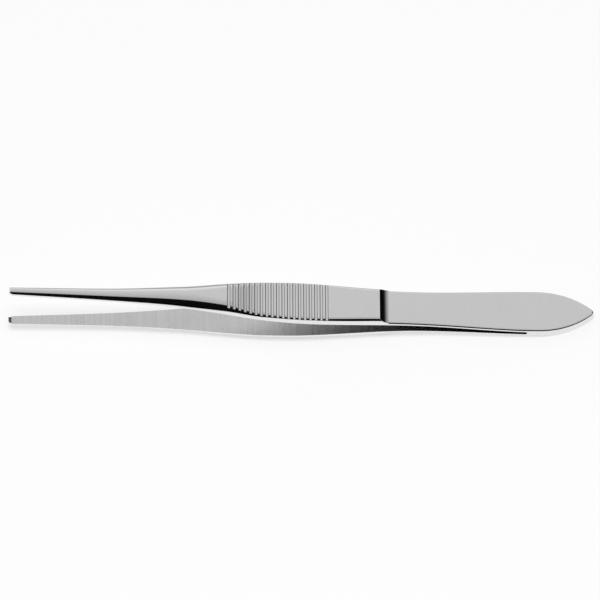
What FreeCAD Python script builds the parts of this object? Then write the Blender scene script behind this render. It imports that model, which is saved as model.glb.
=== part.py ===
import FreeCAD, Part
import math
import os

# Thumb forceps: two forged steel blades, welded together at the tail and sprung open at the tips.
# All sizes are in millimetres and degrees. A place "at" is measured along the forceps from its tail
# end. Each blade is first made above the middle plane, with the tail at x = 0 and the tip towards -x.

blade_length = 125.0

# Tail, where the two blades are welded face to face
weld_length = 14.4
tail_thickness = 1.0
tail_width = 10.1
tail_widest_at = 12.0
tail_nose_radius = 1.0

# Inner line of a blade: a step at the weld, a gentle bow, then a bend back into the straight tip
gap_root = 0.3
leaf_bend_radius = 250.0
leaf_bend_angle = 1.1
bow_radius = 828.0
bow_angle = 4.04
neck_bend_radius = 150.0
neck_bend_angle = 3.0

# Thin leaf that bends when the forceps is squeezed, and the shoulder where the grip starts
leaf_edge_round = 0.28
waist_at = 39.0
waist_inset = 0.9
shoulder_at = 45.95
shoulder_thickness = 1.7
shoulder_edge_radius = 0.85
shoulder_scoop_radius = 1.95

# Grip, at its widest place and at its front end
grip_at = 62.6
grip_inset = 0.12
grip_thickness = 1.5
grip_edge_radius = 0.7
grip_front_at = 71.0
grip_front_inset = 0.45
grip_front_thickness = 1.55
grip_front_edge_radius = 1.0

# Neck, where the flat grip turns into the half-round tip
neck_at = 79.0
neck_inset = 1.35
neck_thickness = 2.34
neck_edge_radius = 2.2

# Half-round tip
tip_root_at = 88.0
tip_root_width = 5.3
tip_root_thickness = 2.15
tip_root_flat_width = 0.5
tip_middle_at = 104.0
tip_middle_width = 3.15
tip_middle_thickness = 1.36
tip_middle_flat_width = 0.22
tip_end_width = 1.9
tip_end_thickness = 1.0
tip_end_flat_width = 0.16
tip_nose_length = 0.8
tip_nose_width = 1.35
tip_crown_round = 0.45

# The sides lean in from the inner face, as a forging needs, and are ground steeper along the leaf
draft_angle = 14.0
leaf_draft_angle = 4.0

# Finger grooves across the outside of the grip
groove_count = 19
groove_pitch = 1.166
groove_last_at = 57.25
groove_width = 0.68
groove_floor_width = 0.42
groove_depth = 0.38

# Teeth: one on the upper tip, which drops between the two on the lower tip
tooth_width = 0.36
tooth_crest_width = 0.14
tooth_height = 0.5
tooth_length = 0.75
tooth_crest_length = 0.22
tooth_setback = 0.05
tooth_lean = 0.35
tooth_clearance = 0.05

# How far cutting and starting solids run past the finished surfaces, and how close counts as on one
margin = 0.8
reach = 3.0
near = 0.02

# Widths along the blade follow from the tail's, less an inset on each side
waist_width = tail_width - 2.0 * waist_inset
grip_width = tail_width - 2.0 * grip_inset
grip_front_width = tail_width - 2.0 * grip_front_inset
neck_width = tail_width - 2.0 * neck_inset

leaf_thickness = tail_thickness - gap_root
tail_side_radius = (tail_widest_at ** 2 + tail_width ** 2 / 4.0 - 2.0 * tail_widest_at * tail_nose_radius) / (
    tail_width - 2.0 * tail_nose_radius
)
lean = math.tan(math.radians(draft_angle))
leaf_lean = math.tan(math.radians(leaf_draft_angle))
corner_share = math.tan(math.radians(45.0 - draft_angle / 2.0))
arc_weight = math.cos(math.radians(45.0 - draft_angle / 2.0))


def point(at, up, side=0.0):
    """A point at a distance from the tail end, a height and a distance sideways."""
    return FreeCAD.Vector(-at, side, up)


key_places = [
    tail_widest_at,
    waist_at,
    shoulder_at,
    grip_at,
    grip_front_at,
    neck_at,
    tip_root_at,
    tip_middle_at,
    blade_length,
]


def smooth_law(stations):
    """A smooth curve through (place, value) pairs that never swings past them, as a function."""
    places = [s[0] for s in stations]
    values = [s[1] for s in stations]
    spans = [after - before for before, after in zip(places, places[1:])]
    rises = [(values[i + 1] - values[i]) / spans[i] for i in range(len(spans))]
    slopes = [0.0]
    for before, after in zip(rises, rises[1:]):
        slopes.append(2.0 * before * after / (before + after) if before * after > 0.0 else 0.0)
    slopes.append(rises[-1])

    def value(at):
        if at <= places[0] or at >= places[-1]:
            return values[0] if at <= places[0] else values[-1]
        i = max(k for k in range(len(spans)) if places[k] <= at)
        s = (at - places[i]) / spans[i]
        start = (2.0 * s + 1.0) * values[i] + s * spans[i] * slopes[i]
        end = (3.0 - 2.0 * s) * values[i + 1] + (s - 1.0) * spans[i] * slopes[i + 1]
        return start * (1.0 - s) ** 2 + end * s ** 2

    return value


width_at = smooth_law([
    (tail_widest_at, tail_width),
    (waist_at, waist_width),
    (grip_at, grip_width),
    (grip_front_at, grip_front_width),
    (neck_at, neck_width),
    (tip_root_at, tip_root_width),
    (tip_middle_at, tip_middle_width),
    (blade_length, tip_end_width),
])

thickness_at = smooth_law([
    (shoulder_at, shoulder_thickness),
    (grip_at, grip_thickness),
    (grip_front_at, grip_front_thickness),
    (neck_at, neck_thickness),
    (tip_root_at, tip_root_thickness),
    (tip_middle_at, tip_middle_thickness),
    (blade_length, tip_end_thickness),
])

lean_at = smooth_law([
    (tail_widest_at, leaf_lean),
    (waist_at, leaf_lean),
    (shoulder_at, lean),
])


def flat_between(at, edge_radius):
    """Width of the flat that two rounded edges leave on the outer face at a place."""
    return width_at(at) - 2.0 * (lean * thickness_at(at) + corner_share * edge_radius)


flat_width_at = smooth_law([
    (shoulder_at, flat_between(shoulder_at, shoulder_edge_radius)),
    (grip_at, flat_between(grip_at, grip_edge_radius)),
    (grip_front_at, flat_between(grip_front_at, grip_front_edge_radius)),
    (neck_at, flat_between(neck_at, neck_edge_radius)),
    (tip_root_at, tip_root_flat_width),
    (tip_middle_at, tip_middle_flat_width),
    (blade_length, tip_end_flat_width),
])


def across(heading):
    """Unit vector square to a line that runs towards the tip with this heading."""
    return FreeCAD.Vector(math.sin(heading), 0.0, math.cos(heading))


def blade_arcs(offset):
    """Bends of the blade's line at a distance outside its inner face: centre, radius and headings."""
    here = point(weld_length + gap_root, gap_root + offset)
    heading = 0.0
    arcs = []
    for radius, angle in [
        (leaf_bend_radius, leaf_bend_angle),
        (bow_radius, bow_angle),
        (-neck_bend_radius, -neck_bend_angle),
    ]:
        own_radius = radius - offset
        centre = here + across(heading) * own_radius
        after = heading + math.radians(angle)
        here = centre - across(after) * own_radius
        arcs.append((centre, own_radius, heading, after))
        heading = after
    return arcs


def blade_line(offset, end_at):
    """Edges of the blade's line at a distance outside its inner face, from the weld to a place."""
    edges = []
    for centre, radius, heading, after in blade_arcs(offset):
        stop = min(after, math.asin((end_at + centre.x) / radius)) if radius > 0.0 else after
        middle = (heading + stop) / 2.0
        ends = [centre - across(direction) * radius for direction in (heading, middle, stop)]
        edges.append(Part.Arc(*ends).toShape())
        if stop < after:
            return edges
    run = end_at + ends[-1].x
    edges.append(Part.makeLine(ends[-1], ends[-1] + FreeCAD.Vector(-run, 0.0, run * math.tan(after))))
    return edges


def line_height(offset, at):
    """Height of the blade's line above the middle plane at a place."""
    for centre, radius, heading, after in blade_arcs(offset):
        there = centre - across(after) * radius
        if at <= -there.x:
            return centre.z - math.cos(max(math.asin((at + centre.x) / radius), 0.0)) * radius
    return there.z + (at + there.x) * math.tan(after)


def prism(edges, corners, half_width):
    """A side profile, its edges closed through the corner points, run out to both sides."""
    path = [edges[-1].Vertexes[-1].Point, *corners, edges[0].Vertexes[0].Point]
    lines = [Part.makeLine(start, end) for start, end in zip(path, path[1:])]
    profile = Part.Face(Part.Wire(edges + lines))
    profile.translate(FreeCAD.Vector(0.0, -half_width, 0.0))
    return profile.extrude(FreeCAD.Vector(0.0, 2.0 * half_width, 0.0))


def section(at):
    """Points across the blade: spare depth inside, leaning sides, edge corners, and the flat on top."""
    foot = line_height(0.0, at) if at > weld_length else 0.0
    top = foot + thickness_at(at)
    half = width_at(at) / 2.0
    slant = math.atan(lean_at(at))
    base = half + lean_at(at) * margin
    corner = half - lean_at(at) * thickness_at(at)
    flat = flat_width_at(at) / 2.0
    side = corner + (corner - flat) * math.sin(slant)
    side_up = top - (corner - flat) * math.cos(slant)
    right = [(base, foot - margin), (side, side_up), (corner, top), (flat, top)]
    return [point(at, up, -y) for y, up in right] + [point(at, up, y) for y, up in reversed(right)]


def strip(rails, weights):
    """Surface between the rails: straight across two of them, an arc across three."""
    count = len(rails) - 1
    poles = [list(row) for row in zip(*[rail.getPoles() for rail in rails])]
    surface = Part.BSplineSurface()
    surface.buildFromPolesMultsKnots(
        poles, rails[0].getMultiplicities(), [count + 1, count + 1], rails[0].getKnots(), [0.0, 1.0],
        False, False, rails[0].Degree, count, [weights for _ in poles],
    )
    return surface.toShape()


def cap(points):
    """Flat end across the blade, with the same round corners as the strips beside it."""
    base, side, corner, flat = points[:4]
    edges = [Part.makeLine(points[7], base), Part.makeLine(base, side), round_corner(side, corner, flat)]
    base, side, corner, flat = reversed(points[4:])
    edges += [Part.makeLine(points[3], flat), round_corner(flat, corner, side), Part.makeLine(side, base)]
    return Part.Face(Part.Wire(edges))


def round_corner(start, corner, end):
    """Arc that touches both sides of a corner."""
    curve = Part.BSplineCurve()
    curve.buildFromPolesMultsKnots([start, corner, end], [3, 3], [0.0, 1.0], False, 2, [1.0, arc_weight, 1.0])
    return curve.toShape()


def forged_body():
    """Width, thickness and rounded edges from the widest part of the tail to the tip, as one skin."""
    places = [key_places[0]]
    for start, end in zip(key_places, key_places[1:]):
        places += [(start + end) / 2.0, end]
    sections = [section(at) for at in places]
    rails = []
    for track in zip(*sections):
        rail = Part.BSplineCurve()
        rail.interpolate(
            Points=list(track),
            Parameters=places,
            InitialTangent=point(1.0, 0.0),
            FinalTangent=track[-1] - track[-2],
        )
        rails.append(rail)
    straight = [1.0, 1.0]
    faces = [strip([rails[a], rails[b]], straight) for a, b in ((7, 0), (0, 1), (3, 4), (6, 7))]
    faces += [strip(rails[a:a + 3], [1.0, arc_weight, 1.0]) for a in (1, 4)]
    faces += [cap(sections[0]), cap(sections[-1])]
    shell = Part.makeShell(faces)
    shell.sewShape()
    body = Part.makeSolid(shell)
    if body.Volume < 0.0:
        body.reverse()
    return body


def slab(at, low, high):
    """Everything between two heights, from a place back past the tail end."""
    return Part.makeBox(at + reach, 2.0 * tail_width, high - low, point(at, low, -tail_width))


def rounded(shape):
    """Rounds the long outer edges of the thin leaf, or of the tail's end."""
    edges = []
    for edge in shape.Edges:
        middle = edge.valueAt((edge.FirstParameter + edge.LastParameter) / 2.0)
        outer = tail_thickness if -middle.x < weld_length + gap_root else line_height(leaf_thickness, -middle.x)
        if edge.BoundBox.XLength > edge.BoundBox.YLength > 0.0 and abs(middle.z - outer) < near:
            edges.append(edge)
    return shape.makeFillet(leaf_edge_round, edges)


def tail_end():
    """Pointed leaf at the tail: two leaning arcs of the plan outline that meet in a small round nose."""
    low = -margin
    high = tail_thickness + margin
    flank = []
    for side in (-1.0, 1.0):
        centre = point(tail_widest_at, low, side * (tail_width / 2.0 - tail_side_radius))
        radius = tail_side_radius
        flank.append(Part.makeCone(radius - leaf_lean * low, radius - leaf_lean * high, high - low, centre))
    leaf = flank[0].common(flank[1])
    nose = [e for e in leaf.Edges if e.BoundBox.XMin > -tail_widest_at and e.BoundBox.YLength < margin]
    leaf = leaf.makeFillet(tail_nose_radius, nose)
    return rounded(leaf.common(slab(tail_widest_at, 0.0, tail_thickness)))


def inside_cutter():
    """Room inside the blade: up to the weld face, the rounded end of the gap and the bowed inner face."""
    middle = math.sqrt(0.5) * gap_root
    step = Part.Arc(
        point(weld_length, 0.0),
        point(weld_length + gap_root - middle, middle),
        point(weld_length + gap_root, gap_root),
    ).toShape()
    end_at = blade_length + reach
    corners = [point(end_at, -reach), point(0.0, -reach), point(0.0, 0.0)]
    return prism([step] + blade_line(0.0, end_at), corners, tail_width)


def outer_cutter(end_at):
    """Room outside the thin leaf, from the tail end to a place."""
    high = line_height(leaf_thickness, end_at) + reach
    corners = [point(end_at, high), point(0.0, high), point(0.0, tail_thickness)]
    return prism(blade_line(leaf_thickness, end_at), corners, tail_width)


def scoop_cutter():
    """Everything behind the grip's shoulder, down into a hollow that runs out on the leaf."""
    top = line_height(0.0, shoulder_at) + shoulder_thickness
    step = top - line_height(leaf_thickness, shoulder_at)
    run = math.sqrt(shoulder_scoop_radius ** 2 - (shoulder_scoop_radius - step) ** 2)
    foot = point(shoulder_at - run, top - step)
    half_sweep = math.atan2(step, run)
    bulge = point(
        shoulder_at - run + shoulder_scoop_radius * math.sin(half_sweep),
        top - step + shoulder_scoop_radius * (1.0 - math.cos(half_sweep)),
    )
    scoop = Part.Arc(foot, bulge, point(shoulder_at, top)).toShape()
    back = -foot.x
    corners = [point(shoulder_at, top + reach), point(0.0, top + reach), point(0.0, -reach), point(back, -reach)]
    return prism([scoop], corners, tail_width)


def tip_cutter():
    """Room around the tip's nose: narrowed to both sides and rounded over its crown."""
    end = blade_length
    start = end - tip_nose_length
    outer = tip_end_width
    plan = []
    for side in (-1.0, 1.0):
        corners = [
            point(start, 0.0, side * tip_end_width / 2.0),
            point(end, 0.0, side * tip_nose_width / 2.0),
            point(end + reach, 0.0, side * tip_nose_width / 2.0),
            point(end + reach, 0.0, side * outer),
            point(start, 0.0, side * outer),
        ]
        face = Part.Face(Part.makePolygon(corners + corners[:1]))
        plan.append(face.extrude(FreeCAD.Vector(0.0, 0.0, line_height(0.0, end) + reach)))
    crown = line_height(0.0, end) + tip_end_thickness
    turn = tip_crown_round * (1.0 - math.sqrt(0.5))
    over = Part.Arc(
        point(end - tip_crown_round, crown),
        point(end - turn, crown - turn),
        point(end, crown - tip_crown_round),
    ).toShape()
    top = prism([over], [point(end + reach, crown), point(end, crown + reach)], tip_end_width)
    return plan[0].fuse([plan[1], top])


def groove_cutters():
    """Grooves across the outer face of the grip, one cutter each, square to the face where they are."""
    cutters = []
    for i in range(groove_count):
        at = groove_last_at + groove_pitch * i
        top = line_height(0.0, at) + thickness_at(at)
        ahead = line_height(0.0, at + groove_pitch) + thickness_at(at + groove_pitch)
        slope = math.atan2(ahead - top, groove_pitch)
        flare = (groove_width - groove_floor_width) / 2.0
        over = groove_depth + margin
        half_floor = groove_floor_width / 2.0
        half_mouth = half_floor + flare * over / groove_depth
        corners = [
            FreeCAD.Vector(-half_floor, 0.0, -groove_depth),
            FreeCAD.Vector(half_floor, 0.0, -groove_depth),
            FreeCAD.Vector(half_mouth, 0.0, margin),
            FreeCAD.Vector(-half_mouth, 0.0, margin),
        ]
        face = Part.Face(Part.makePolygon(corners + corners[:1]))
        face.rotate(FreeCAD.Vector(), FreeCAD.Vector(0.0, 1.0, 0.0), math.degrees(slope))
        face.translate(point(at, top, -tail_width))
        cutters.append(face.extrude(FreeCAD.Vector(0.0, 2.0 * tail_width, 0.0)))
    return cutters


def tooth(side):
    """Tapered tooth under the tip of the upper blade, at a distance sideways, leaning forward."""
    heading = math.radians(leaf_bend_angle + bow_angle - neck_bend_angle)
    levels = []
    for level in (-margin, 1.0):
        length = tooth_length + (tooth_crest_length - tooth_length) * level
        half = (tooth_width + (tooth_crest_width - tooth_width) * level) / 2.0
        front = blade_length - tooth_setback + tooth_lean * level
        base = line_height(0.0, blade_length) - tooth_height * level
        corners = [
            point(front, base, side - half),
            point(front, base, side + half),
            point(front - length, base - length * math.tan(heading), side + half),
            point(front - length, base - length * math.tan(heading), side - half),
        ]
        levels.append(Part.makePolygon(corners + corners[:1]))
    return Part.makeLoft(levels, True, True)


def blade(tooth_sides):
    """One blade above the middle plane, with its teeth at these distances sideways."""
    forging = forged_body().cut(inside_cutter())
    leaf_end = shoulder_at + reach
    leaf = forging.cut(outer_cutter(leaf_end)).common(slab(leaf_end, -reach, tail_width))
    leaf = rounded(leaf.Solids[0])
    grip = forging.cut(scoop_cutter()).Solids[0]
    body = grip.fuse([leaf, tail_end()]).removeSplitter()
    body = body.cut(tip_cutter())
    body = body.cut(groove_cutters())
    return body.fuse([tooth(side) for side in tooth_sides]).Solids[0]


def lower_hull(points):
    """Corners of the side outline that a straight table edge could touch from below."""
    hull = []
    for x, z in sorted(points):
        while len(hull) > 1 and turn(hull[-2], hull[-1], (x, z)) <= 0.0:
            hull.pop()
        hull.append((x, z))
    return hull


def turn(first, second, third):
    """Positive where the way through three points turns upward."""
    return (second[0] - first[0]) * (third[1] - first[1]) - (second[1] - first[1]) * (third[0] - first[0])


def resting_tilt(upper, lower):
    """Slope of the table line under the lower blade, in degrees, for the forceps lying unheld."""
    balance_x = (upper.CenterOfMass.x + lower.CenterOfMass.x) / 2.0
    hull = lower_hull([(p.x, p.z) for p in lower.tessellate(near)[0]])
    for (x, z), (next_x, next_z) in zip(hull, hull[1:]):
        if x <= balance_x <= next_x:
            return math.degrees(math.atan2(next_z - z, next_x - x))


tooth_offset = (tooth_width + tooth_crest_width) / 2.0 + tooth_clearance
upper_blade = blade([0.0])
lower_blade = blade([-tooth_offset, tooth_offset])
lower_blade.rotate(FreeCAD.Vector(), FreeCAD.Vector(1.0, 0.0, 0.0), 180.0)

# The forceps lies on the table on its lower blade, with the middle of its footprint at the origin
tilt = resting_tilt(upper_blade, lower_blade)
for shape in (upper_blade, lower_blade):
    shape.rotate(FreeCAD.Vector(), FreeCAD.Vector(0.0, 1.0, 0.0), tilt)
box = Part.Compound([upper_blade, lower_blade]).optimalBoundingBox(False, False)
for shape in (upper_blade, lower_blade):
    shape.translate(FreeCAD.Vector(-box.Center.x, -box.Center.y, -box.ZMin))

os.makedirs("parts", exist_ok=True)
upper_blade.exportStep("parts/upper_blade.step")
lower_blade.exportStep("parts/lower_blade.step")
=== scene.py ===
import bpy
import math
from mathutils import Matrix, Quaternion, Vector


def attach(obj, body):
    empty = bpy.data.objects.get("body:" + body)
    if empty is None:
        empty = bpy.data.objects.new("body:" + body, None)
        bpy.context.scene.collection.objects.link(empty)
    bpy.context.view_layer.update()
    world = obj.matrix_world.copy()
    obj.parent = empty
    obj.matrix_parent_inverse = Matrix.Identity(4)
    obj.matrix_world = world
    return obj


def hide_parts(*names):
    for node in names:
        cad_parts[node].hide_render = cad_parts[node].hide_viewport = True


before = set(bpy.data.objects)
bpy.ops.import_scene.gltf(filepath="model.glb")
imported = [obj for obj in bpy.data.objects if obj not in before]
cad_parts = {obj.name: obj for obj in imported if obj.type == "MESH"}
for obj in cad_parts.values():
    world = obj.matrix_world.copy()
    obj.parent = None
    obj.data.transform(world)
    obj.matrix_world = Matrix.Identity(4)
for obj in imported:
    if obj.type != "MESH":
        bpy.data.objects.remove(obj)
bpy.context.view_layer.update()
print("frame loaded")

# The photographer's view: long lens, looking down on the upper blade
camera = {
    "azimuth": 2.1,          # degrees towards the tail
    "elevation": 57.1,
    "roll": -2.9,            # the far end of the table drops to the right
    "distance": 1.5,         # metres
    "frameWidth": 0.1280,    # metres of the object's length that fill the picture
    "aim": (0.0, 0.0, 0.0090),
    "sensor": 36.0,          # millimetres
    "clip": (0.01, 20.0),
}


def makeCamera():
    data = bpy.data.cameras.new("studioCamera")
    obj = bpy.data.objects.new("studioCamera", data)
    bpy.context.scene.collection.objects.link(obj)
    azimuth = math.radians(camera["azimuth"])
    elevation = math.radians(camera["elevation"])
    back = Vector((
        math.sin(azimuth) * math.cos(elevation),
        -math.cos(azimuth) * math.cos(elevation),
        math.sin(elevation),
    ))
    turn = (-back).to_track_quat("-Z", "Y") @ Quaternion((0.0, 0.0, 1.0), math.radians(camera["roll"]))
    obj.location = Vector(camera["aim"]) + back * camera["distance"]
    obj.rotation_mode = "QUATERNION"
    obj.rotation_quaternion = turn
    data.sensor_width = camera["sensor"]
    data.lens = camera["sensor"] * camera["distance"] / camera["frameWidth"]
    data.clip_start, data.clip_end = camera["clip"]
    bpy.context.scene.camera = obj


makeCamera()
print("camera placed")


# One blade, in millimetres: "at" runs from the tail's end to the tip, heights from the weld face
blade = {
    "length": 125.0,
    "tailWidth": 10.1,
    "tailWidestAt": 12.0,
    "tailNoseRadius": 1.0,
    "tailThickness": 1.0,
    "weldLength": 14.4,
    "gapRoot": 0.3,          # quarter round where the gap between the blades starts
    "bends": ((250.0, 1.1), (828.0, 4.04), (-150.0, -3.0)),   # radius and angle of each bend
    "leafLean": 4.0,         # degrees that the sides lean in
    "gripLean": 14.0,
    "leafEdge": 0.46,        # radius of the leaf's outer edges
    "leafHollow": (0.1, 32.0, 44.0),   # how much deeper its inner face is ground, and where that fades out
    "scoopRadius": 2.4,      # of the hollow that climbs from the leaf to the shoulder
    "waist": (39.0, 8.38),   # at, width
    "grip": (                # at, width, thickness, radius of the outer edges
        (45.95, None, 1.7, 0.85),   # the shoulder, whose width follows from the waist and the grip
        (62.6, 9.86, 1.5, 0.7),
        (71.0, 9.2, 1.55, 1.0),
        (79.0, 7.4, 2.34, 2.2),
    ),
    "tip": (                 # at, width, thickness, width of the flat on the outer face
        (88.0, 5.3, 2.15, 0.5),
        (104.0, 3.15, 1.36, 0.22),
        (125.0, 1.9, 1.0, 0.16),
    ),
    "noseLength": 0.8,       # over this length the tip narrows to its end's width
    "noseWidth": 1.35,
    "crownRound": 0.45,      # radius from the outer face into the tip's end
    "edgeBreak": 0.035,      # the small bevel on every sharp edge
    "edgeSegments": 3,
    "sharpFrom": 20.0,       # degrees at which an edge gets that bevel
    "smoothTo": 33.0,        # degrees up to which faces are shaded as one
    "faceWeight": 70,        # how strongly the large faces lead the shading
}
grooves = {
    "count": 19,
    "pitch": 1.166,
    "firstAt": 57.31,
    "mouth": 0.68,
    "floor": 0.42,
    "depth": ((71.0, 0.38), (79.0, 0.68)),   # they run deeper where the blade thickens into its neck
}
teeth = {
    "width": (0.36, 0.14),   # at the root and at the crest
    "length": (0.75, 0.22),
    "height": 0.5,
    "root": 0.8,             # how deep the root sits in the blade
    "setback": 0.05,
    "lean": 0.085,           # of the lower teeth, past the tip; the upper one stands straighter
    "upperLean": -0.165,
    "offset": 0.3,           # of the lower blade's two teeth, from the middle
    "edgeBreak": 0.04,
    "sharpFrom": 30.0,
}
rest = {"tilt": 3.64475, "tailEnd": (62.68098, 0.97582)}   # how the forceps lies on the table

# How finely a blade is divided: faces round its edges, and rings in each stretch from tail to tip
division = {
    "lowerSteps": 5,         # faces across each rounded edge, below the grooves' depth
    "upperSteps": 7,         # and above it
    "lowestSplit": 0.45,     # sine of the lowest turn where the two meet
    "noseStep": 5.0,         # degrees between the rings round the tail's nose
    "noseFlank": (0.36, 1.6),    # beside the nose the rings lie closer
    "nose": 10,
    "flank": 8,
    "tail": 14,
    "weld": 3,
    "gapRoot": 5,
    "leaf": 26,
    "scoop": 14,
    "shoulder": 10,
    "neck": 28,
    "tip": 16,
    "tipEnd": 3,
    "crown": 8,
}
joining = {"mirror": 0.000002, "doubles": 0.0000005, "slivers": 0.000001}   # metres between merged points
steelOf = {"ground": 1, "filed": 2, "rough": 3}   # places in the list of steels, where polished is 0
perMetre = 1000.0   # millimetres


def smoothLaw(stations):   # a curve through (at, value) pairs that never swings past them
    places = [s[0] for s in stations]
    values = [s[1] for s in stations]
    spans = [b - a for a, b in zip(places, places[1:])]
    rises = [(values[i + 1] - values[i]) / spans[i] for i in range(len(spans))]
    slopes = [0.0]
    for a, b in zip(rises, rises[1:]):
        slopes.append(2.0 * a * b / (a + b) if a * b > 0.0 else 0.0)
    slopes.append(rises[-1])

    def value(at):
        if at <= places[0]:
            return values[0]
        if at >= places[-1]:
            return values[-1]
        i = max(k for k in range(len(spans)) if places[k] <= at)
        s = (at - places[i]) / spans[i]
        start = (2.0 * s + 1.0) * values[i] + s * spans[i] * slopes[i]
        end = (3.0 - 2.0 * s) * values[i + 1] + (s - 1.0) * spans[i] * slopes[i + 1]
        return start * (1.0 - s) ** 2 + end * s ** 2

    return value


gripLean = math.tan(math.radians(blade["gripLean"]))
leafLean = math.tan(math.radians(blade["leafLean"]))
shoulderAt = blade["grip"][0][0]
leafFrom = blade["weldLength"] + blade["gapRoot"]
leafThickness = blade["tailThickness"] - blade["gapRoot"]
widthAt = smoothLaw(
    [(blade["tailWidestAt"], blade["tailWidth"]), blade["waist"]]
    + [s[:2] for s in blade["grip"][1:] + blade["tip"]]
)
thicknessAt = smoothLaw([(s[0], s[2]) for s in blade["grip"] + blade["tip"]])
leanAt = smoothLaw([(blade["tailWidestAt"], leafLean), (blade["waist"][0], leafLean), (shoulderAt, gripLean)])


def cornerShare(lean):   # length of an edge's rounding along each face, for a radius of 1
    return math.tan(math.pi / 4.0 - math.atan(lean) / 2.0)


def flatLeft(at, radius):
    return widthAt(at) - 2.0 * (gripLean * thicknessAt(at) + cornerShare(gripLean) * radius)


flatAt = smoothLaw(
    [(s[0], flatLeft(s[0], s[3])) for s in blade["grip"]]
    + [(s[0], s[3]) for s in blade["tip"]]
)


def innerHeight(at):   # height of the inner face above the weld face
    start = blade["weldLength"]
    root = blade["gapRoot"]
    if at <= start:
        return 0.0
    if at < start + root:
        return math.sqrt(root ** 2 - (start + root - at) ** 2)
    x, z, heading = start + root, root, 0.0
    for radius, angle in blade["bends"]:
        after = heading + math.radians(angle)
        centreX = x - math.sin(heading) * radius
        centreZ = z + math.cos(heading) * radius
        x = centreX + math.sin(after) * radius
        z = centreZ - math.cos(after) * radius
        if at <= x:
            lean = math.asin((at - centreX) / radius)
            return centreZ - math.cos(lean) * radius
        heading = after
    return z + (at - x) * math.tan(heading)


def hollow(at):   # how far the leaf's inner face lies back from its plain line
    depth, start, end = blade["leafHollow"]
    opening = min(max((at - blade["weldLength"]) / blade["gapRoot"], 0.0), 1.0)
    ending = min(max((at - start) / (end - start), 0.0), 1.0)
    return depth * opening * (1.0 - ending * ending * (3.0 - 2.0 * ending))


grooveDepthAt = smoothLaw(grooves["depth"])
scoopStep = thicknessAt(shoulderAt) - leafThickness
scoopRun = math.sqrt(blade["scoopRadius"] ** 2 - (blade["scoopRadius"] - scoopStep) ** 2)
scoopAt = shoulderAt - scoopRun
lowerSteps = division["lowerSteps"]
upperSteps = division["upperSteps"]


def planPoint(at):   # half width and the outline's direction, with the tail's two arcs and its nose
    nose = blade["tailNoseRadius"]
    widest = blade["tailWidestAt"]
    half = blade["tailWidth"] / 2.0
    radius = (widest ** 2 + half ** 2 - 2.0 * widest * nose) / (2.0 * half - 2.0 * nose)
    if at >= widest:
        return widthAt(at) / 2.0, (0.0, 1.0)
    noseEnd = nose - nose * (widest - nose) / (radius - nose)
    if at <= noseEnd:
        back = (nose - at) / nose
        out = math.sqrt(max(1.0 - back ** 2, 0.0))
        return nose * out, (-back, out)
    slide = (widest - at) / radius
    out = math.sqrt(1.0 - slide ** 2)
    return half - radius + radius * out, (-slide, out)


def ring(at, sink):   # half of one section: inner middle, inner edge, side, rounded edge, outer middle
    half, (alongX, alongY) = planPoint(at)
    foot = innerHeight(at)
    lean = leanAt(at)
    slant = math.atan(lean)
    if at <= scoopAt:
        base = 0.0 if at < leafFrom else foot
        top = blade["tailThickness"] if at < leafFrom else foot + leafThickness
        radius = blade["leafEdge"]
        flatInset = lean * (top - base) + radius * cornerShare(lean)
    else:
        top = foot + thicknessAt(at)
        flatInset = half - flatAt(at) / 2.0
        radius = (flatInset - lean * (top - foot)) / cornerShare(lean)
    highest = top - sink
    if scoopAt < at < shoulderAt:
        swing = blade["scoopRadius"]
        highest = foot + leafThickness + swing - math.sqrt(swing ** 2 - (at - scoopAt) ** 2)
    fromEnd = blade["length"] - at
    if fromEnd < blade["crownRound"]:
        crown = blade["crownRound"]
        highest = min(highest, top - crown + math.sqrt(crown ** 2 - (crown - fromEnd) ** 2))

    def onEdge(turn):
        return flatInset - radius * math.cos(turn), top - radius * (1.0 - math.sin(turn))

    def edgeUpTo(turn):
        return [onEdge(slant + (turn - slant) * i / lowerSteps) for i in range(lowerSteps + 1)]

    if scoopAt < at < shoulderAt:
        if highest <= onEdge(slant)[1]:
            low = foot + (highest - foot) / 2.0
            heights = [low + (highest - low) * i / lowerSteps for i in range(lowerSteps + 1)]
            points = [(lean * (z - foot), z) for z in heights]
        else:
            points = edgeUpTo(math.asin((highest - top) / radius + 1.0))
        start = points[-1][0]
        points += [(start + (flatInset - start) * i / upperSteps, highest) for i in range(1, upperSteps + 1)]
    else:
        split = math.asin(max(1.0 - grooveDepthAt(at) / radius, division["lowestSplit"]))
        points = edgeUpTo(split)
        points += [onEdge(split + (math.pi / 2.0 - split) * i / upperSteps) for i in range(1, upperSteps + 1)]
        points = [(inset, min(z, highest)) for inset, z in points]
    foot += hollow(at)
    narrow = half
    if fromEnd < blade["noseLength"]:
        share = fromEnd / blade["noseLength"]
        narrow = (blade["noseWidth"] + (widthAt(at) - blade["noseWidth"]) * share) / 2.0
    placed = [(at, 0.0, foot), (at, min(half, narrow), foot)]
    for inset, z in points:
        placed.append((at - alongX * inset, max(min(half - alongY * inset, narrow), 0.0), z))
    placed.append((placed[-1][0], 0.0, placed[-1][2]))
    return placed


def evenly(start, end, count):
    return [start + (end - start) * i / count for i in range(count)]


def quarter(count):   # turns in radians that divide a quarter circle, without its end
    return [math.radians(90.0 * i / count) for i in range(count)]


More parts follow.
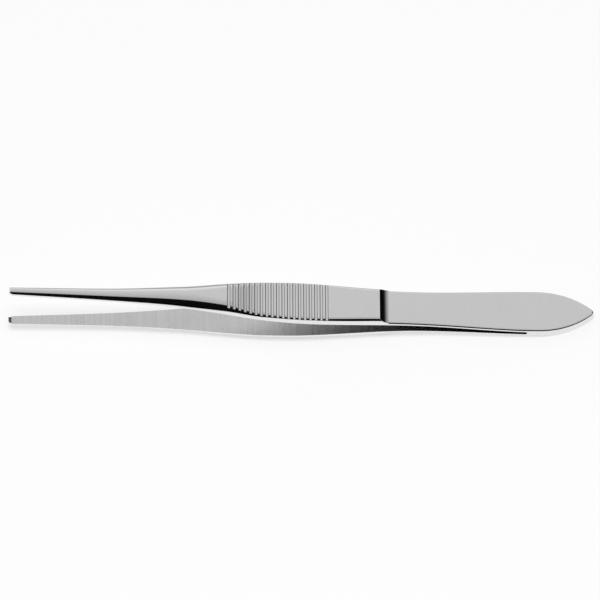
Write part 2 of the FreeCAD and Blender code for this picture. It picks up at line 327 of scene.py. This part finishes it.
def ringPlaces():   # where the rings lie, each with how deep a groove is there
    nose = blade["tailNoseRadius"]
    root = blade["gapRoot"]
    widest = blade["tailWidestAt"]
    flankFrom, flankTo = division["noseFlank"]
    turns = [math.radians(division["noseStep"] * i) for i in range(division["nose"])]
    places = [nose * (1.0 - math.cos(turn)) for turn in turns]
    places += evenly(flankFrom, flankTo, division["flank"]) + evenly(flankTo, widest, division["tail"])
    places += evenly(widest, blade["weldLength"], division["weld"])
    places += [blade["weldLength"] + root * (1.0 - math.cos(turn)) for turn in quarter(division["gapRoot"])]
    places += evenly(leafFrom, scoopAt, division["leaf"])
    climb = math.asin(scoopRun / blade["scoopRadius"])
    steps = division["scoop"]
    places += [scoopAt + blade["scoopRadius"] * math.sin(climb * i / steps) for i in range(steps)]
    first = grooves["firstAt"] - grooves["pitch"] / 2.0
    places += evenly(shoulderAt, first, division["shoulder"])
    rings = [(at, 0.0) for at in places]
    for i in range(grooves["count"]):
        middle = grooves["firstAt"] + grooves["pitch"] * i
        depth = grooveDepthAt(middle)
        rings += [(middle - grooves["mouth"] / 2.0, 0.0), (middle - grooves["floor"] / 2.0, depth)]
        rings += [(middle + grooves["floor"] / 2.0, depth), (middle + grooves["mouth"] / 2.0, 0.0)]
    last = grooves["firstAt"] + grooves["pitch"] * (grooves["count"] - 0.5)
    end = blade["length"]
    crown = blade["crownRound"]
    slimAt = blade["tip"][1][0]
    places = evenly(last, slimAt, division["neck"])
    places += evenly(slimAt, end - blade["noseLength"], division["tip"])
    places += evenly(end - blade["noseLength"], end - crown, division["tipEnd"])
    places += [end - crown * (1.0 - math.sin(turn)) for turn in quarter(division["crown"])] + [end]
    return rings + [(at, 0.0) for at in places]


def placeOnTable(mesh, below):   # from the blade's own frame to how the forceps lies
    flip = Matrix.Rotation(math.pi if below else 0.0, 4, "X")
    tilt = Matrix.Rotation(math.radians(rest["tilt"]), 4, "Y")
    x, z = rest["tailEnd"]
    mesh.transform(Matrix.Translation((x / perMetre, 0.0, z / perMetre)) @ tilt @ flip)


def addModifier(piece, kind, **values):   # adds one modifier, sets it and applies it
    modifier = piece.modifiers.new(kind.lower(), kind)
    for key, value in values.items():
        setattr(modifier, key, value)
    bpy.ops.object.modifier_apply(modifier=modifier.name)


# A forging's width, thickness and edges change all along it, and the grooves cross its rounded edges.
# Operators can't give that form, so each ring of a plain grid is placed by the sizes above.
def makeBlade(name, node, toothSides, below, steels):
    places = ringPlaces()
    rings = [ring(at, sink) for at, sink in places]
    last = len(rings) - 1
    across = len(rings[0]) - 1
    bpy.ops.object.select_all(action="DESELECT")
    bpy.ops.mesh.primitive_grid_add(x_subdivisions=last, y_subdivisions=across, size=1.0)
    piece = bpy.context.object
    piece.name = name
    mesh = piece.data
    for steel in steels:
        mesh.materials.append(steel)
    for face in mesh.polygons:
        i = int((face.center.x + 0.5) * last)
        j = int((face.center.y + 0.5) * across)
        onTop = j >= lowerSteps + 2
        onWall = (places[i][1] > 0.0) != (places[i + 1][1] > 0.0)
        inScoop = scoopAt <= places[i][0] < shoulderAt
        atTip = places[i][0] >= blade["length"] - blade["crownRound"]
        if j == 0:
            face.material_index = steelOf["rough"] if atTip else steelOf["ground"]
        elif onWall and onTop:
            face.material_index = steelOf["filed"]
        elif inScoop and onTop:
            face.material_index = steelOf["rough"]
    for vertex in mesh.vertices:
        i = round((vertex.co.x + 0.5) * last)
        j = round((vertex.co.y + 0.5) * across)
        at, side, up = rings[i][j]
        vertex.co = (-at / perMetre, side / perMetre, up / perMetre)
    addModifier(
        piece, "MIRROR", use_axis=(False, True, False), use_clip=True,
        merge_threshold=joining["mirror"],
    )
    bpy.ops.object.mode_set(mode="EDIT")
    bpy.ops.mesh.select_all(action="SELECT")
    bpy.ops.mesh.remove_doubles(threshold=joining["doubles"])
    bpy.ops.mesh.select_mode(type="EDGE")
    bpy.ops.mesh.select_all(action="DESELECT")
    bpy.ops.mesh.select_non_manifold()
    bpy.ops.mesh.edge_face_add()
    bpy.ops.mesh.select_all(action="SELECT")
    bpy.ops.mesh.normals_make_consistent(inside=False)
    bpy.ops.object.mode_set(mode="OBJECT")
    addModifier(
        piece, "BEVEL", width=blade["edgeBreak"] / perMetre, segments=blade["edgeSegments"],
        limit_method="ANGLE", angle_limit=math.radians(blade["sharpFrom"]),
        use_clamp_overlap=False, miter_outer="MITER_ARC",
    )
    bpy.ops.object.mode_set(mode="EDIT")
    bpy.ops.mesh.select_all(action="SELECT")
    bpy.ops.mesh.dissolve_degenerate(threshold=joining["slivers"])
    bpy.ops.object.mode_set(mode="OBJECT")
    joinTeeth(piece, toothSides, teeth["lean"] if below else teeth["upperLean"])
    placeOnTable(mesh, below)
    bpy.ops.object.shade_smooth_by_angle(angle=math.radians(blade["smoothTo"]))
    addModifier(
        piece, "WEIGHTED_NORMAL", mode="FACE_AREA_WITH_ANGLE", weight=blade["faceWeight"],
        keep_sharp=True,
    )
    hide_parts(node)
    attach(piece, "root")
    print(name, "has", len(mesh.polygons), "faces")


def joinTeeth(piece, toothSides, lean):   # tapered teeth under the tip, rooted in the blade
    end = blade["length"]
    foot = innerHeight(end)
    rootLength, crestLength = teeth["length"]
    rootWidth, crestWidth = teeth["width"]
    tall = teeth["height"] + teeth["root"]
    for side in toothSides:
        bpy.ops.object.select_all(action="DESELECT")
        middle = -end + teeth["setback"] + rootLength / 2.0
        centre = Vector((middle, side, foot + teeth["root"] - tall / 2.0)) / perMetre
        bpy.ops.mesh.primitive_cube_add(size=1.0 / perMetre, location=centre)
        tooth = bpy.context.object
        bpy.ops.object.mode_set(mode="EDIT")
        bpy.ops.mesh.select_all(action="SELECT")
        bpy.ops.transform.resize(value=(rootLength, rootWidth, tall), center_override=centre)
        bpy.ops.mesh.select_mode(type="FACE")
        bpy.ops.mesh.select_all(action="DESELECT")
        bpy.ops.object.mode_set(mode="OBJECT")
        for face in tooth.data.polygons:
            face.select = face.normal.z < -0.9   # the crest points down in the blade's own frame
        bpy.ops.object.mode_set(mode="EDIT")
        crest = centre - Vector((0.0, 0.0, tall / 2.0)) / perMetre
        taper = (crestLength / rootLength, crestWidth / rootWidth, 1.0)
        bpy.ops.transform.resize(value=taper, center_override=crest)
        forward = (rootLength - crestLength) / perMetre + lean / perMetre
        bpy.ops.transform.translate(value=(-forward, 0.0, 0.0))
        bpy.ops.object.mode_set(mode="OBJECT")
        bpy.ops.object.transform_apply(location=True, rotation=True, scale=True)
        addModifier(
            tooth, "BEVEL", width=teeth["edgeBreak"] / perMetre, segments=blade["edgeSegments"],
            limit_method="ANGLE", angle_limit=math.radians(teeth["sharpFrom"]),
        )
        tooth.data.materials.append(piece.data.materials[steelOf["rough"]])
        piece.select_set(True)
        bpy.context.view_layer.objects.active = piece
        bpy.ops.object.join()


# Steel finishes: grey and roughness are ranges, size is how many marks lie in a metre along each axis,
# and patches is the share of the broad pattern. Where a finish has one, a painted shade darkens its grey
# between two places in X.
polished = {
    "grey": (0.835, 0.87),
    "roughness": (0.055, 0.11),
    "size": (900.0, 260.0, 900.0),
    "bump": 0.02,
    "patches": 0.4,
}
ground = {
    "grey": (0.70, 0.86),
    "roughness": (0.24, 0.34),
    "size": (1900.0, 35.0, 200.0),
    "bump": 0.08,
    "patches": 0.2,
    "paintedShade": (0.1, -0.008, 0.05),   # painted shade of the gap between the blades, darker towards the tail where the gap narrows
}
filed = {
    "grey": (0.4, 0.5),
    "roughness": (0.12, 0.2),
    "size": (2500.0, 500.0, 2500.0),
    "bump": 0.05,
    "patches": 0.4,
}
rough = {                          # the scoops and teeth
    "grey": (0.78, 0.86),
    "roughness": (0.14, 0.22),
    "size": (2500.0, 500.0, 2500.0),
    "bump": 0.05,
    "patches": 0.4,
    "paintedShade": (0.17, 0.0192, 0.0172),   # painted shade: dark from the scoops' upper part to the tip, and so on the teeth, in place of the dark room that their steep faces would mirror
}
grain = {
    "detail": 4.0,
    "coarseness": 0.65,
    "patchScale": 170.0,
    "patchDetail": 3.0,
    "spread": (0.3, 0.7),    # the part of the noise that the marks use
    "depth": 0.00001,        # metres
}


def makeGrainGroup():   # marks stretched one way, with broader cloudy patches through them
    group = bpy.data.node_groups.new("grain", "ShaderNodeTree")
    for name, kind in (("Size", "NodeSocketVector"), ("Patches", "NodeSocketFloat")):
        group.interface.new_socket(name=name, in_out="INPUT", socket_type=kind)
    for name in ("Marks", "Height"):
        group.interface.new_socket(name=name, in_out="OUTPUT", socket_type="NodeSocketFloat")
    nodes, links = group.nodes, group.links
    entry = nodes.new("NodeGroupInput")
    result = nodes.new("NodeGroupOutput")
    place = nodes.new("ShaderNodeTexCoord")
    mapping = nodes.new("ShaderNodeMapping")
    links.new(place.outputs["Object"], mapping.inputs["Vector"])
    links.new(entry.outputs["Size"], mapping.inputs["Scale"])
    fine = nodes.new("ShaderNodeTexNoise")
    fine.inputs["Scale"].default_value = 1.0
    fine.inputs["Detail"].default_value = grain["detail"]
    fine.inputs["Roughness"].default_value = grain["coarseness"]
    links.new(mapping.outputs["Vector"], fine.inputs["Vector"])
    broad = nodes.new("ShaderNodeTexNoise")
    broad.inputs["Scale"].default_value = grain["patchScale"]
    broad.inputs["Detail"].default_value = grain["patchDetail"]
    links.new(place.outputs["Object"], broad.inputs["Vector"])
    mix = nodes.new("ShaderNodeMix")
    mix.data_type = "FLOAT"
    links.new(entry.outputs["Patches"], mix.inputs[0])
    links.new(fine.outputs[0], mix.inputs[2])
    links.new(broad.outputs[0], mix.inputs[3])
    spread = nodes.new("ShaderNodeMapRange")
    spread.inputs["From Min"].default_value, spread.inputs["From Max"].default_value = grain["spread"]
    links.new(mix.outputs[0], spread.inputs["Value"])
    links.new(spread.outputs["Result"], result.inputs["Marks"])
    links.new(fine.outputs[0], result.inputs["Height"])
    return group


def mixColours(nodes, links, share, first, second):
    mix = nodes.new("ShaderNodeMix")
    mix.data_type = "RGBA"
    links.new(share, mix.inputs[0])
    for socket, value in zip(mix.inputs[6:8], (first, second)):   # a Mix node's two colour sockets
        if isinstance(value, float):
            socket.default_value = (value, value, value, 1.0)
        else:
            links.new(value, socket)
    return mix.outputs[2]


def makeSteel(name, finish, group):
    material = bpy.data.materials.new(name)
    material.use_nodes = True
    nodes, links = material.node_tree.nodes, material.node_tree.links
    shader = nodes["Principled BSDF"]
    shader.inputs["Metallic"].default_value = 1.0
    marks = nodes.new("ShaderNodeGroup")
    marks.node_tree = group
    marks.inputs["Size"].default_value = finish["size"]
    marks.inputs["Patches"].default_value = finish["patches"]
    colour = mixColours(nodes, links, marks.outputs["Marks"], *finish["grey"])
    # a painted shade: a darker grey mixed in between two places in X
    if "paintedShade" in finish:
        grey, start, end = finish["paintedShade"]
        place = nodes.new("ShaderNodeTexCoord")
        split = nodes.new("ShaderNodeSeparateXYZ")
        links.new(place.outputs["Object"], split.inputs[0])
        share = ramp(nodes, links, split.outputs[0], start, end, kind="LINEAR")
        colour = mixColours(nodes, links, share, colour, grey)
    links.new(colour, shader.inputs["Base Color"])
    gloss = nodes.new("ShaderNodeMapRange")
    gloss.inputs["To Min"].default_value, gloss.inputs["To Max"].default_value = finish["roughness"]
    links.new(marks.outputs["Marks"], gloss.inputs["Value"])
    links.new(gloss.outputs["Result"], shader.inputs["Roughness"])
    bump = nodes.new("ShaderNodeBump")
    bump.inputs["Strength"].default_value = finish["bump"]
    bump.inputs["Distance"].default_value = grain["depth"]
    links.new(marks.outputs["Height"], bump.inputs["Height"])
    links.new(bump.outputs["Normal"], shader.inputs["Normal"])
    return material


def ramp(nodes, links, value, low, high, kind="SMOOTHSTEP"):
    node = nodes.new("ShaderNodeMapRange")
    node.interpolation_type = kind
    node.inputs["From Min"].default_value = low
    node.inputs["From Max"].default_value = high
    links.new(value, node.inputs["Value"])
    return node.outputs["Result"]


def math2(nodes, links, operation, first, second):
    node = nodes.new("ShaderNodeMath")
    node.operation = operation
    for socket, value in zip(node.inputs, (first, second)):
        if isinstance(value, (int, float)):
            socket.default_value = value
        else:
            links.new(value, socket)
    return node.outputs[0]


grainGroup = makeGrainGroup()
steels = [
    makeSteel("polishedSteel", polished, grainGroup),
    makeSteel("groundSteel", ground, grainGroup),
    makeSteel("filedSteel", filed, grainGroup),
    makeSteel("roughSteel", rough, grainGroup),
]
print("steel finishes made")
makeBlade("upperBlade", "upper_blade", [0.0], False, steels)
makeBlade("lowerBlade", "lower_blade", [-teeth["offset"], teeth["offset"]], True, steels)
print("blades made")


# The floor is white paper to the camera; in the steel it shows only as far as the table reaches
table = {
    "size": 6.0,
    "paper": 0.5,
    "white": 0.7,            # strength of the paper's own white
    "shadow": 0.3,           # share that comes from light on it, so that it keeps the shadow
    "contact": (0.004, 0.16),    # reach in metres and darkness of the shade under the blades
    "contactSamples": 8,
    "front": (-0.046, -0.028),   # where its front end fades, in metres
    "back": (0.02, 0.05),
    "backShade": 0.6,        # how much darker it is there
    "tail": (0.072, 0.1),
    "tailCorner": ((0.02, 0.035), (0.006, 0.014)),   # the corner behind the tail stays dark too
    "reflected": 0.47,
}


def makeFloor():
    bpy.ops.object.select_all(action="DESELECT")
    bpy.ops.mesh.primitive_plane_add(size=table["size"], location=(0.0, 0.0, 0.0))
    floor = bpy.context.object
    floor.name = "floor"
    material = bpy.data.materials.new("paleFloor")
    material.use_nodes = True
    nodes, links = material.node_tree.nodes, material.node_tree.links
    nodes.remove(nodes["Principled BSDF"])
    path = nodes.new("ShaderNodeLightPath")
    place = nodes.new("ShaderNodeTexCoord")
    split = nodes.new("ShaderNodeSeparateXYZ")
    links.new(place.outputs["Object"], split.inputs[0])
    near = ramp(nodes, links, split.outputs[1], *table["front"])
    far = ramp(nodes, links, split.outputs[1], *table["back"])
    far = math2(nodes, links, "MULTIPLY", far, table["backShade"])
    near = math2(nodes, links, "MULTIPLY", near, math2(nodes, links, "SUBTRACT", 1.0, far))
    beyond = ramp(nodes, links, split.outputs[0], *table["tail"])
    alongX, alongY = table["tailCorner"]
    corner = ramp(nodes, links, split.outputs[0], *alongX)
    corner = math2(nodes, links, "MULTIPLY", corner, ramp(nodes, links, split.outputs[1], *alongY))
    beyond = math2(nodes, links, "MAXIMUM", beyond, corner)
    near = math2(nodes, links, "MULTIPLY", near, math2(nodes, links, "SUBTRACT", 1.0, beyond))
    reach, darkness = table["contact"]
    closeness = nodes.new("ShaderNodeAmbientOcclusion")
    closeness.samples = table["contactSamples"]
    closeness.inputs["Distance"].default_value = reach
    shade = math2(nodes, links, "SUBTRACT", 1.0, closeness.outputs["AO"])
    shade = math2(nodes, links, "MULTIPLY", shade, darkness)
    seen = math2(nodes, links, "MULTIPLY", math2(nodes, links, "SUBTRACT", 1.0, shade), table["white"])
    direct = nodes.new("ShaderNodeEmission")
    links.new(seen, direct.inputs["Strength"])
    lit = nodes.new("ShaderNodeBsdfDiffuse")
    lit.inputs["Color"].default_value = (*[table["shadow"]] * 3, 1.0)
    toCamera = nodes.new("ShaderNodeAddShader")
    links.new(direct.outputs[0], toCamera.inputs[0])
    links.new(lit.outputs[0], toCamera.inputs[1])
    glow = nodes.new("ShaderNodeEmission")
    strength = math2(nodes, links, "MULTIPLY", path.outputs["Is Glossy Ray"], table["reflected"])
    links.new(math2(nodes, links, "MULTIPLY", strength, near), glow.inputs["Strength"])
    paper = nodes.new("ShaderNodeBsdfDiffuse")
    grey = math2(nodes, links, "MULTIPLY", near, table["paper"])
    links.new(grey, paper.inputs["Color"])
    toSteel = nodes.new("ShaderNodeAddShader")
    links.new(glow.outputs[0], toSteel.inputs[0])
    links.new(paper.outputs[0], toSteel.inputs[1])
    mix = nodes.new("ShaderNodeMixShader")
    links.new(path.outputs["Is Camera Ray"], mix.inputs[0])
    links.new(toSteel.outputs[0], mix.inputs[1])
    links.new(toCamera.outputs[0], mix.inputs[2])
    links.new(mix.outputs[0], nodes["Material Output"].inputs["Surface"])
    floor.data.materials.append(material)


makeFloor()
print("floor laid")


# The room that the steel mirrors: a bright ceiling that grows lighter down the white wall behind
studio = {
    "ceiling": 0.455,
    "wall": 0.88,
    "horizon": (2.6, 7.5, 0.55),   # where the wall darkens towards its foot, and to how much
    "dark": 0.004,           # unlit room on the photographer's side
    "front": (0.62, 0.68),   # where the ceiling ends towards the photographer, run over rise
    "frontFrom": (100, 115),     # compass degrees of that dark side, from the back wall by way of the tail
    "frontTo": (212, 236),
    "back": (-0.5, 2.2),     # where the ceiling turns into the wall
    "doorway": (0.2, 1.1),   # a dark opening behind the tail: how far along it starts
    "doorwayTo": (74, 86),
    "softer": 0.6,           # share of the room's light that dull surfaces go without
    "level": 0.001,          # nothing is divided by less than this
}


def makeWorld():
    world = bpy.data.worlds.new("studio")
    bpy.context.scene.world = world
    world.use_nodes = True
    nodes, links = world.node_tree.nodes, world.node_tree.links
    coordinates = nodes.new("ShaderNodeTexCoord")
    split = nodes.new("ShaderNodeSeparateXYZ")
    links.new(coordinates.outputs["Generated"], split.inputs[0])
    x, y, z = split.outputs
    rise = math2(nodes, links, "MAXIMUM", z, studio["level"])
    towardsBack = math2(nodes, links, "DIVIDE", y, rise)
    towardsFront = math2(nodes, links, "MULTIPLY", towardsBack, -1.0)
    squareY = math2(nodes, links, "MULTIPLY", y, y)
    squareZ = math2(nodes, links, "MULTIPLY", z, z)
    ahead = math2(nodes, links, "SQRT", math2(nodes, links, "ADD", squareY, squareZ), 0.0)
    ahead = math2(nodes, links, "MAXIMUM", ahead, studio["level"])
    towardsTail = math2(nodes, links, "DIVIDE", x, ahead)
    compass = math2(nodes, links, "ARCTAN2", x, y)
    compass = math2(nodes, links, "MULTIPLY", compass, 180.0 / math.pi)
    west = math2(nodes, links, "MULTIPLY", math2(nodes, links, "LESS_THAN", compass, 0.0), 360.0)
    compass = math2(nodes, links, "ADD", compass, west)
    front = ramp(nodes, links, towardsFront, *studio["front"])
    front = math2(nodes, links, "MULTIPLY", front, ramp(nodes, links, compass, *studio["frontFrom"]))
    past = math2(nodes, links, "SUBTRACT", 1.0, ramp(nodes, links, compass, *studio["frontTo"]))
    front = math2(nodes, links, "MULTIPLY", front, past)
    doorway = ramp(nodes, links, towardsTail, *studio["doorway"])
    past = math2(nodes, links, "SUBTRACT", 1.0, ramp(nodes, links, compass, *studio["doorwayTo"]))
    doorway = math2(nodes, links, "MULTIPLY", doorway, past)
    share = math2(nodes, links, "SUBTRACT", 1.0, math2(nodes, links, "MAXIMUM", front, doorway))
    low, high, foot = studio["horizon"]
    darker = math2(nodes, links, "MULTIPLY", ramp(nodes, links, towardsBack, low, high), 1.0 - foot)
    share = math2(nodes, links, "MULTIPLY", share, math2(nodes, links, "SUBTRACT", 1.0, darker))
    lighter = ramp(nodes, links, towardsBack, *studio["back"], kind="LINEAR")
    lighter = math2(nodes, links, "MULTIPLY", lighter, studio["wall"] - studio["ceiling"])
    level = math2(nodes, links, "ADD", lighter, studio["ceiling"])
    total = math2(nodes, links, "ADD", math2(nodes, links, "MULTIPLY", level, share), studio["dark"])
    path = nodes.new("ShaderNodeLightPath")
    less = math2(nodes, links, "MULTIPLY", path.outputs["Is Diffuse Ray"], studio["softer"])
    total = math2(nodes, links, "MULTIPLY", total, math2(nodes, links, "SUBTRACT", 1.0, less))
    background = nodes["Background"]
    background.inputs["Color"].default_value = (1.0, 1.0, 1.0, 1.0)
    links.new(total, background.inputs["Strength"])


# One soft lamp above the front edge of the table, which the steel doesn't mirror
fill = {
    "location": (0.0, -0.24, 1.2),
    "target": (0.0, 0.0, 0.0),
    "size": (0.42, 0.42),
    "radiance": 21.0,
}


def makeFill():
    light = bpy.data.lights.new("fill", "AREA")
    light.shape = "RECTANGLE"
    light.size, light.size_y = fill["size"]
    light.energy = fill["radiance"] * math.pi * fill["size"][0] * fill["size"][1]
    obj = bpy.data.objects.new("fill", light)
    bpy.context.scene.collection.objects.link(obj)
    obj.location = fill["location"]
    aim = Vector(fill["target"]) - Vector(fill["location"])
    obj.rotation_euler = aim.to_track_quat("-Z", "Y").to_euler()
    obj.visible_glossy = False


makeWorld()
makeFill()
print("studio lit")

bpy.context.scene.view_settings.view_transform = "Standard"
